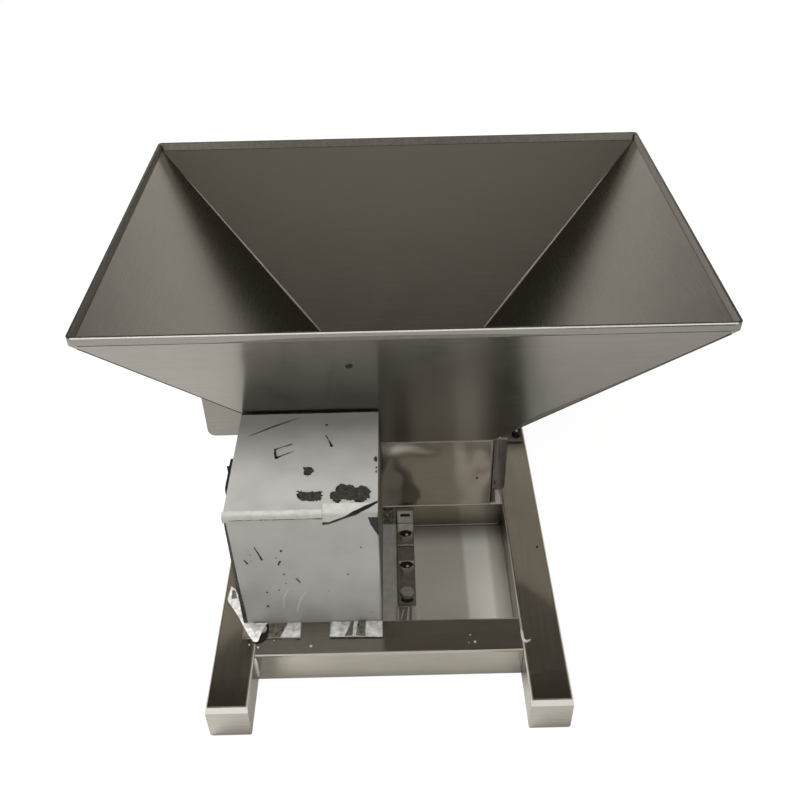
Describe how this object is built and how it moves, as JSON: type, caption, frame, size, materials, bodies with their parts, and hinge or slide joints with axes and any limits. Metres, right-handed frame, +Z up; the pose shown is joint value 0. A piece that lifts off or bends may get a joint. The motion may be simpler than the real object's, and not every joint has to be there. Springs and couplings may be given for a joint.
{
  "type": "bread crumb machine",
  "caption": "Bench bread crumb machine: a wide stainless hopper feeds a belt-driven toothed roller on a square-tube base, with a boxed drive cover at the front left.",
  "frame": {"origin": "on the floor under the middle of the whole machine's box", "axes": "+X to the right and +Y to the back as seen from the drive cover's side, +Z up"},
  "size_m": [0.628, 0.664, 0.316],
  "materials": {
    "stainless_tube": "satin polished square tube",
    "stainless_sheet": "fine brushed sheet",
    "filmed_sheet": "sheet under a torn whitish protective film",
    "pan_sheet": "bright mill-finish sheet",
    "mild_steel_plate": "dull rolled plate",
    "blade_steel": "laser cut and ground",
    "turned_steel": "turned and ground",
    "turned_aluminium": "turned",
    "cast_iron_part": "dark casting",
    "motor_paint": "sprayed grey enamel",
    "zinc_fastener": "bright zinc plate",
    "belt_rubber": "black ribbed cloth and rubber",
    "black_plastic": "moulded black plastic"
  },
  "bodies": {
    "machine_frame": {"left_rail": "stainless_tube", "right_rail": "stainless_tube", "front_cross_tube": "stainless_tube", "middle_cross_tube": "stainless_tube", "rear_cross_tube": "stainless_tube", "rail_end_caps": "stainless_tube", "motor_pan": "pan_sheet", "hopper_front_wall": "stainless_sheet", "hopper_right_wall": "stainless_sheet", "hopper_back_wall": "stainless_sheet", "hopper_left_wall": "stainless_sheet", "hopper_rim": "stainless_sheet", "hopper_bracket": "stainless_sheet", "chamber_front_wall": "stainless_sheet", "chamber_rear_wall": "stainless_sheet", "left_end_plate": "stainless_sheet", "right_end_plate": "stainless_sheet", "left_plate_bracket": "mild_steel_plate", "right_plate_bracket": "mild_steel_plate", "bracket_bolts": "zinc_fastener", "front_comb": "stainless_sheet", "rear_comb": "stainless_sheet", "crumb_grate": "stainless_sheet", "left_bearing_housing": "cast_iron_part", "right_bearing_housing": "cast_iron_part", "housing_bolts": "zinc_fastener", "bearing_outer_rings": "turned_steel", "drive_cover": "filmed_sheet", "cover_screws": "zinc_fastener", "cable_gland": "black_plastic", "belt_guard": "stainless_sheet", "motor_base_plate": "mild_steel_plate", "foot_lugs": "mild_steel_plate", "base_plate_bolts": "zinc_fastener", "motor_housing": "motor_paint", "motor_left_bell": "motor_paint", "motor_right_bell": "motor_paint", "motor_bolts": "zinc_fastener", "drive_belt": "belt_rubber", "switch_body": "black_plastic"},
    "roller": {"bearing_inner_rings": "turned_steel", "roller_shaft": "turned_steel", "cutter_discs": "blade_steel", "spacer_rings": "turned_aluminium", "roller_pulley": "cast_iron_part", "roller_nut": "zinc_fastener"},
    "motor_rotor": {"motor_shaft": "turned_steel", "motor_pulley": "cast_iron_part"},
    "rocker": {"switch_rocker": "black_plastic"}
  },
  "joints": [
    {"name": "roller_spin", "type": "hinge", "parent": "machine_frame", "child": "roller", "pos_m": [0, 0.028, 0.095], "axis": [1, 0, 0], "continuous": true},
    {"name": "motor_spin", "type": "hinge", "parent": "machine_frame", "child": "motor_rotor", "pos_m": [-0.14, -0.162, 0.088], "axis": [1, 0, 0], "continuous": true},
    {"name": "rocker_tilt", "type": "hinge", "parent": "machine_frame", "child": "rocker", "pos_m": [-0.169, -0.1732, 0.1805], "axis": [0, 0, 1], "range_deg": [-20, 0]}
  ],
  "couplings": [
    {"joint": "motor_spin", "follows": "roller_spin", "ratio": 1.5556}
  ]
}
